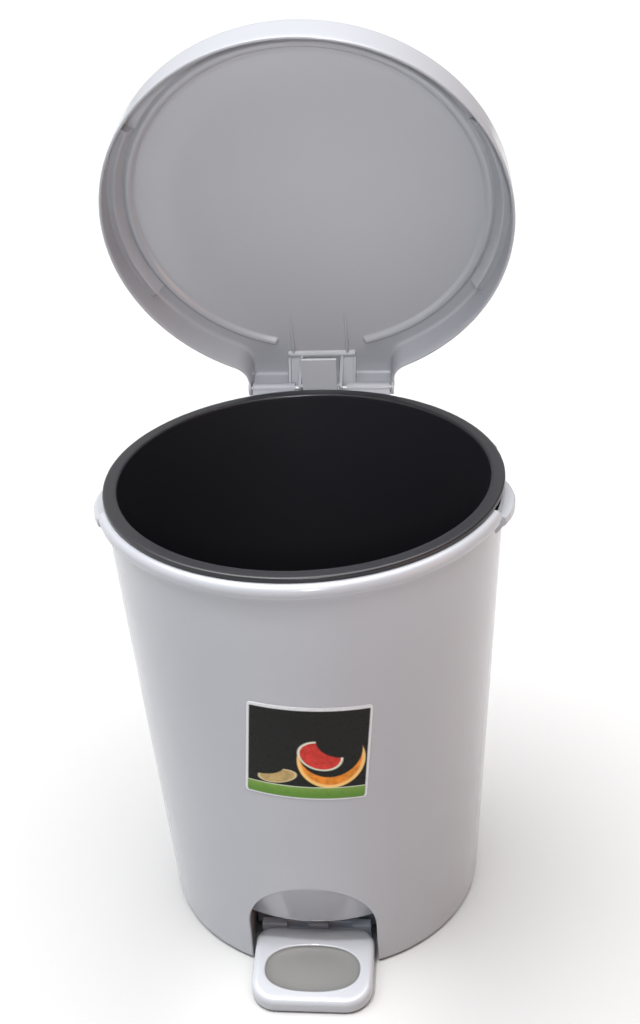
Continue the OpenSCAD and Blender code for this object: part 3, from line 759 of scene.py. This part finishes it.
def label_look():
    """A dark panel with a green strip, a pale line and plain crescents on a pale film."""
    mat, nt, bsdf = nodes_of("label_look")
    uv = nt.nodes.new("ShaderNodeUVMap")
    uv.uv_map = "label"
    sep = nt.nodes.new("ShaderNodeSeparateXYZ")
    nt.links.new(uv.outputs["UV"], sep.inputs[0])
    u, v = sep.outputs[0], sep.outputs[1]
    coord = nt.nodes.new("ShaderNodeTexCoord").outputs["Object"]

    def soft(value, edge, width=0.008):
        """1 where value is under edge."""
        return span(nt, value, edge - width, edge + width, 1, 0)

    def disc(cx, cy, r, sx, sy, turn):
        """A turned and stretched disc, and the distance from its centre."""
        c, s = math.cos(turn * RAD), math.sin(turn * RAD)
        du, dv = maths(nt, "SUBTRACT", u, cx), maths(nt, "SUBTRACT", v, cy)
        a = maths(nt, "ADD", maths(nt, "MULTIPLY", du, c / sx), maths(nt, "MULTIPLY", dv, s / sx))
        b = maths(nt, "ADD", maths(nt, "MULTIPLY", du, -s / sy), maths(nt, "MULTIPLY", dv, c / sy))
        d = maths(nt, "SQRT", maths(nt, "ADD", maths(nt, "MULTIPLY", a, a), maths(nt, "MULTIPLY", b, b)))
        return soft(d, r), d

    def box_mask(x0, x1, y0, y1, width=0.006):
        out = maths(nt, "MULTIPLY", soft(u, x1, width), maths(nt, "SUBTRACT", 1, soft(u, x0, width)))
        out = maths(nt, "MULTIPLY", out, soft(v, y1, width))
        return maths(nt, "MULTIPLY", out, maths(nt, "SUBTRACT", 1, soft(v, y0, width)))

    def cut(a, b):
        return maths(nt, "MULTIPLY", a, maths(nt, "SUBTRACT", 1, b))
    paper = noise(nt, coord, 500, 3, 0.6)
    colour = blend_colour(nt, span(nt, paper, 0.3, 0.7, 0, 1), (0.62, 0.63, 0.65), (0.58, 0.59, 0.61))
    panel = box_mask(0.02, 0.98, 0.014, 0.968)
    ink = span(nt, noise(nt, coord, 14, 3, 0.6), 0.3, 0.7, 0, 1)
    dark = blend_colour(nt, ink, (0.0112, 0.0118, 0.011), (0.0125, 0.0116, 0.0112))
    colour = blend_colour(nt, panel, colour, dark)
    strip = box_mask(0.02, 0.98, 0.014, 0.132)
    green = blend_colour(nt, span(nt, v, 0.03, 0.16, 0, 1), (0.10, 0.22, 0.035), (0.17, 0.30, 0.06))
    colour = blend_colour(nt, strip, colour, green)
    line = box_mask(0.02, 0.98, 0.130, 0.140, 0.004)
    colour = blend_colour(nt, line, colour, (0.50, 0.55, 0.42))
    speck = noise(nt, coord, 200, 2, 0.6)
    for cx, cy, r, sx, sy, turn, off, flesh, skin in CRESCENTS:
        whole, d = disc(cx, cy, r, sx, sy, turn)
        bite, _ = disc(cx + off[0], cy + off[1], r * 0.95, sx, sy, turn)
        shape = cut(whole, bite)
        body = blend_colour(nt, span(nt, speck, 0.35, 0.7, 0, 1), flesh, tuple(c * 0.7 for c in flesh))
        tone = blend_colour(nt, span(nt, d, r * 0.86, r * 0.93, 0, 1), body, skin)
        colour = blend_colour(nt, shape, colour, tone)
    nt.links.new(colour, bsdf.inputs["Base Color"])
    bsdf.inputs["Specular IOR Level"].default_value = 0.12
    wear = noise(nt, coord, 180, 4, 0.6)
    nt.links.new(span(nt, wear, 0.3, 0.8, 0.26, 0.34), bsdf.inputs["Roughness"])
    bump = add(nt, "ShaderNodeBump", Strength=0.01, Distance=0.0003)
    nt.links.new(wear, bump.inputs["Height"])
    nt.links.new(bump.outputs["Normal"], bsdf.inputs["Normal"])
    return mat


# plain crescents: centre, radius, stretch, turn, bite, inside and rim colours
CRESCENTS = [
    (0.26, 0.235, 0.125, 1.30, 0.62, 14, (-0.10, 0.075), (0.46, 0.33, 0.14), (0.60, 0.50, 0.30)),
    (0.600, 0.485, 0.170, 1.15, 0.88, -28, (0.135, 0.135), (0.58, 0.045, 0.035), (0.60, 0.62, 0.50)),
    (0.690, 0.440, 0.300, 0.92, 1.02, 4, (-0.012, 0.105), (0.74, 0.25, 0.03), (0.80, 0.50, 0.18)),
]


# ---------- everything ----------
outer_body()
inner_bucket()
lid_shell()
lid_frame()
pedal()
label()

LOOKS = {"white_plastic": WHITE, "satin_plastic": SATIN, "dark_plastic": DARK, "steel": STEEL,
         "label_film": SATIN}
slots = {s["node"]: s["material_slot"] for s in frame["record"]["subparts"]}
for node_name, node in frame["nodes"].items():
    for place in node.material_slots:
        place.material = LOOKS[slots[node_name]]


# ---------- floor, light and camera ----------
def floor():
    bm = bmesh.new()
    bmesh.ops.create_grid(bm, x_segments=8, y_segments=8, size=6)
    mesh = bpy.data.meshes.new("floor")
    bm.to_mesh(mesh)
    bm.free()
    mat, nt, bsdf = nodes_of("floor_look")
    coord = nt.nodes.new("ShaderNodeTexCoord").outputs["Object"]
    mottle = noise(nt, coord, 3, 4, 0.6)
    pale = blend_colour(nt, mottle, (0.45, 0.45, 0.45), (0.44, 0.44, 0.443))
    nt.links.new(pale, bsdf.inputs["Base Color"])
    bsdf.inputs["Roughness"].default_value = 0.7
    mesh.materials.append(mat)
    obj = bpy.data.objects.new("floor", mesh)
    bpy.context.scene.collection.objects.link(obj)


def area(name, place, aim, size, power, colour=(1, 1, 1), spread=180):
    lamp = bpy.data.lights.new(name, "AREA")
    lamp.shape = "RECTANGLE"
    lamp.size, lamp.size_y = size
    lamp.energy = power
    lamp.spread = spread * RAD
    lamp.color = colour
    obj = bpy.data.objects.new(name, lamp)
    obj.location = place
    obj.rotation_euler = (Vector(aim) - Vector(place)).to_track_quat("-Z", "Y").to_euler()
    bpy.context.scene.collection.objects.link(obj)


def sun(name, towards, strength, degrees):
    """A far lamp that shines from a direction, as wide as the degrees say."""
    lamp = bpy.data.lights.new(name, "SUN")
    lamp.energy = strength
    lamp.angle = degrees * RAD
    obj = bpy.data.objects.new(name, lamp)
    obj.rotation_euler = Vector(towards).to_track_quat("Z", "Y").to_euler()
    bpy.context.scene.collection.objects.link(obj)


def studio():
    """Light from all round: brightest overhead, pale on the left and behind, dim in front
    and dark brown on the right."""
    world = bpy.data.worlds.new("studio")
    world.use_nodes = True
    nt = world.node_tree
    way = nt.nodes.new("ShaderNodeSeparateXYZ")
    nt.links.new(nt.nodes.new("ShaderNodeTexCoord").outputs["Generated"], way.inputs[0])
    x, y, z = way.outputs
    tint = blend_colour(nt, span(nt, y, -0.4, 0.6, 0, 1), (0.10, 0.105, 0.13), (0.60, 0.60, 0.60))
    tint = blend_colour(nt, span(nt, x, -0.3, -0.9, 0, 1), tint, (0.95, 0.95, 0.96))
    tint = blend_colour(nt, span(nt, x, 0.15, 0.7, 0, 1), tint, (0.10, 0.045, 0.02))
    tint = blend_colour(nt, span(nt, z, 0.68, 0.92, 0, 1), tint, (5.3, 5.3, 5.3))
    nt.links.new(tint, nt.nodes["Background"].inputs[0])
    bpy.context.scene.world = world


def camera():
    """The camera fitted to the photograph."""
    azimuth, elevation, roll = 6.27 * RAD, 29.22 * RAD, -3.281 * RAD
    flat = math.cos(elevation)
    back = Vector((math.sin(azimuth) * flat, -math.cos(azimuth) * flat, math.sin(elevation)))
    right = Vector((math.cos(azimuth), math.sin(azimuth), 0))
    up = back.cross(right)
    c, s = math.cos(roll), math.sin(roll)
    right, up = c * right + s * up, c * up - s * right
    place = Vector((0.1059, -0.8698, 0.8219))
    cam = bpy.data.cameras.new("camera")
    cam.lens = 48.61
    cam.sensor_fit = "AUTO"
    cam.sensor_width = 36
    obj = bpy.data.objects.new("camera", cam)
    obj.matrix_world = Matrix(((right.x, up.x, back.x, place.x), (right.y, up.y, back.y, place.y),
                               (right.z, up.z, back.z, place.z), (0, 0, 0, 1)))
    bpy.context.scene.collection.objects.link(obj)
    bpy.context.scene.camera = obj


floor()
camera()
studio()
sun("sun", (-0.45, 0.15, 1.0), 0.8, 40)
area("warm", (1.15, -0.55, 0.32), (0, 0, 0.12), (0.8, 0.5), 1.9, (1.0, 0.36, 0.10))
area("front", (0.15, -1.1, 0.95), (0, 0.17, 0.45), (0.15, 0.15), 0.28, (1.0, 1.0, 1.0), 26)
area("low", (-0.10, -0.42, 1.3), (0.0, -0.148, 0.03), (0.06, 0.06), 0.048, (1.0, 1.0, 0.98), 11)
bpy.context.scene.view_settings.view_transform = "Standard"
